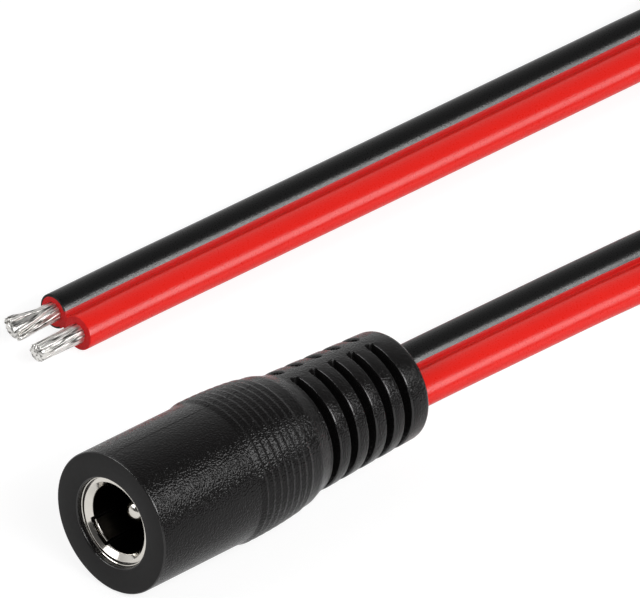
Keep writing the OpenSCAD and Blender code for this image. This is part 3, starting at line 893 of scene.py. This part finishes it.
def make_bundle(name, node, finish, seed, spread, lean, thin, twist, full, slant, gape):
    """Twisted strands run together by tin, from the cut end of the insulation to the domed tip.
    spread and thin: how much wider and flatter the tip is. lean: how far it leans up, as a share of the
    radius. twist: turn of the strands, in radians to the mm. full: how far out the tin reaches at the tip.
    slant: how much the low side is shorter. gape: how far the strands part on the near side, in radians."""
    chance = np.random.RandomState(seed)
    low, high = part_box(node)
    middle = np.array((low + high) / 2)
    bundle_r = (high.z - low.z) / 2
    across = np.array(BUNDLE_ACROSS)
    across /= np.linalg.norm(across)
    toward = np.array((0, -across[2], across[1]))

    def place(run, wide, deep):
        """Points of a line along the bundle, at places across it and towards the eye."""
        line = (high.x, middle[1], middle[2]) - run[:, None] * (1, 0, 0)
        bulge = 1 + ROOT_BULGE * np.exp(-np.clip(run, 0, None) / ROOT_BULGE_LEN)
        wide = wide * (bulge + (spread - 1) * opened(run)) + lean * bundle_r * opened(run)
        deep = deep * (bulge + (thin - 1) * opened(run))
        return line + wide[:, None] * across + deep[:, None] * toward

    def tip(ring_r, turn):
        """Length of a strand whose end lies on the domed and slanted tip."""
        dome = TIP_DOME * (1 - math.sqrt(1 - ring_r ** 2))
        return BARE_LEN - dome - slant * ring_r * (1 - math.cos(turn)) / 2

    lofts = []
    for count, ring_r, strand_r, stray in STRANDS:
        for turn in even_angles(count) + chance.uniform(0, 1):
            turn += chance.uniform(-UNEVEN_SPACING, UNEVEN_SPACING) / count
            lay = twist + stray * chance.uniform(-1, 1)
            length = tip(ring_r, turn) - UNEVEN_TIP * chance.uniform(0, 1)
            radius = strand_r * bundle_r * chance.uniform(1 - UNEVEN_RADIUS, 1 + UNEVEN_RADIUS)
            run = np.linspace(-ROOT_IN, length, STRAND_ROWS)
            off = math.remainder(turn - GAPE_TURN, 2 * math.pi)
            parted = gape * math.copysign(math.exp(-abs(off) / GAPE_FADE), off) * opened(run)
            wave = WAVE * np.sin(run / MM * WAVE_PER_MM + chance.uniform(0, 6))
            phase = turn + lay * (run - length) / MM + parted + wave
            path = place(run, ring_r * bundle_r * np.cos(phase), ring_r * bundle_r * np.sin(phase))
            lofts.append(strand(path, radius * domed((length - run) / radius)))
    run = np.linspace(-ROOT_IN, BARE_LEN - TIN_BACK, STRAND_ROWS)
    filled = TIN_AT_ROOT + (full - TIN_AT_ROOT) * opened(run)
    reach = bundle_r * domed((run[-1] - run) / TIP_DOME) * filled
    fill = [place(run, reach * math.cos(a), reach * math.sin(a)) for a in even_angles(TIN_SIDES)]
    lofts.append(np.array(fill).transpose(1, 0, 2))
    bundle = build(name, lofts, finish)
    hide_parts(node)
    return bundle


# Floor, world and lamps

FLOOR_HALF = 8
FLOOR_IN_MIRROR = 0.57
FLOOR_GLOW = 0.8
WALL_WAY = (0.35, 0.94, 0)


def make_floor():
    """White floor: a mid tone that takes the shadow, lifted to white where the eye or a mirror sees it."""
    mesh = bpy.data.meshes.new("floor")
    corners = [(x * FLOOR_HALF, y * FLOOR_HALF, 0) for x, y in ((-1, -1), (1, -1), (1, 1), (-1, 1))]
    mesh.from_pydata(corners, [], [(0, 1, 2, 3)])
    floor = bpy.data.objects.new("floor", mesh)
    bpy.context.scene.collection.objects.link(floor)
    material, tree = start_material("white_floor")
    path = put(tree, "ShaderNodeLightPath")
    mirrored = put(tree, "ShaderNodeMath", {
        0: path.outputs["Is Glossy Ray"], 1: path.outputs["Is Transmission Ray"]}, operation="MAXIMUM")
    lifted = put(tree, "ShaderNodeMath", {
        0: mirrored.outputs[0], 1: FLOOR_IN_MIRROR, 2: path.outputs["Is Camera Ray"]},
        operation="MULTIPLY_ADD")
    lift = lifted.outputs[0]
    tone = put(tree, "ShaderNodeMapRange", {"Value": lift, "To Min": 0.8, "To Max": 0.3})
    strength = put(tree, "ShaderNodeMath", {0: lift, 1: FLOOR_GLOW}, operation="MULTIPLY")
    shaded = put(tree, "ShaderNodeBsdfDiffuse", {"Color": tone.outputs["Result"]})
    glow = put(tree, "ShaderNodeEmission", {"Strength": strength.outputs[0]})
    shown = put(tree, "ShaderNodeAddShader", {0: shaded.outputs[0], 1: glow.outputs[0]})
    put(tree, "ShaderNodeOutputMaterial", {"Surface": shown.outputs[0]})
    mesh.materials.append(material)


def make_world():
    """White wall behind and to the right, and a dark room in front."""
    world = bpy.data.worlds.new("studio")
    world.use_nodes = True
    tree = world.node_tree
    tree.nodes.clear()
    way = put(tree, "ShaderNodeTexCoord").outputs["Generated"]
    toward_wall = put(tree, "ShaderNodeVectorMath", {0: way, 1: WALL_WAY}, operation="DOT_PRODUCT")
    level = put(tree, "ShaderNodeMapRange", {
        "Value": toward_wall.outputs["Value"], "From Min": -0.14, "From Max": 0.94,
        "To Min": 0.08, "To Max": 0.87})
    sky = put(tree, "ShaderNodeBackground", {
        "Color": (1, 1, 1, 1), "Strength": level.outputs["Result"]})
    put(tree, "ShaderNodeOutputWorld", {"Surface": sky.outputs[0]})
    bpy.context.scene.world = world


def soft_box(name, direction, distance, width, height, level):
    """Lamp that faces the object. Its level is the brightness of its face."""
    data = bpy.data.lights.new(name, "AREA")
    data.shape = "RECTANGLE"
    data.size = width
    data.size_y = height
    data.energy = level * math.pi * width * height
    lamp = bpy.data.objects.new(name, data)
    bpy.context.scene.collection.objects.link(lamp)
    away = Vector(direction).normalized()
    lamp.location = VIEW_CENTRE + away * distance
    lamp.rotation_euler = away.to_track_quat("Z", "Y").to_euler()


make_camera()
# The groove colour of each PVC is painted shade in the valley beside the black skin
red_pvc = extruded_pvc("red_pvc_extruded", low="#da1d16", high="#e0221a", groove_shade="#ba0f0c",
                       dull=0.28, gloss=0.18, rubbed_gloss=0.52)
black_pvc = extruded_pvc("black_pvc_extruded", low="#080808", high="#0b0b0b", groove_shade="#080808",
                         dull=0.28, gloss=0.17, rubbed_gloss=0.9)
insulation, skin, line = make_cable(red_pvc, cut_pvc(), black_pvc)

tinned = tin("tinned_copper_strands", dull=0.28, lump_size=0.25 * MM, lump_depth=0.03 * MM, drawn_out=7)
black_end = make_bundle("black_strands", "black_tinned_end", tinned, seed=3, spread=1.5, lean=0.18,
                        thin=0.85, twist=0.16, full=0.66, slant=0.4 * MM, gape=0.5)
red_end = make_bundle("red_strands", "red_tinned_end", tinned, seed=8, spread=1, lean=0,
                      thin=1, twist=0.1, full=0.93, slant=0.15 * MM, gape=0)

make_housing(grained_pvc(), smooth_pvc(), edge_pvc())
plate = nickel_plate()
# The sleeve's bore gets nickel with painted shade
make_sleeve(plate, shaded_bore_nickel())
make_pin(plate)

solder = tin("solder", dull=0.3, lump_size=0.4 * MM, lump_depth=0.015 * MM, drawn_out=1)
carried = {"socket_insulator": nylon(), "pin_solder_joint": solder, "sleeve_solder_joint": solder,
           "red_wire_end": tinned, "black_wire_end": tinned}
for node, finish in carried.items():
    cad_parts[node].data.materials.clear()
    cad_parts[node].data.materials.append(finish)

make_floor()
make_world()
soft_box("strip_box", direction=(0.08, -0.6, 0.37), distance=0.71, width=1.06, height=0.17, level=7.2)
soft_box("front_box", direction=(-0.15, -0.75, 0.63), distance=0.75, width=0.65, height=0.28, level=3.2)
soft_box("left_box", direction=(-0.75, 0.4, 0.5), distance=0.6, width=0.33, height=0.21, level=5)
bpy.context.scene.view_settings.view_transform = "Standard"
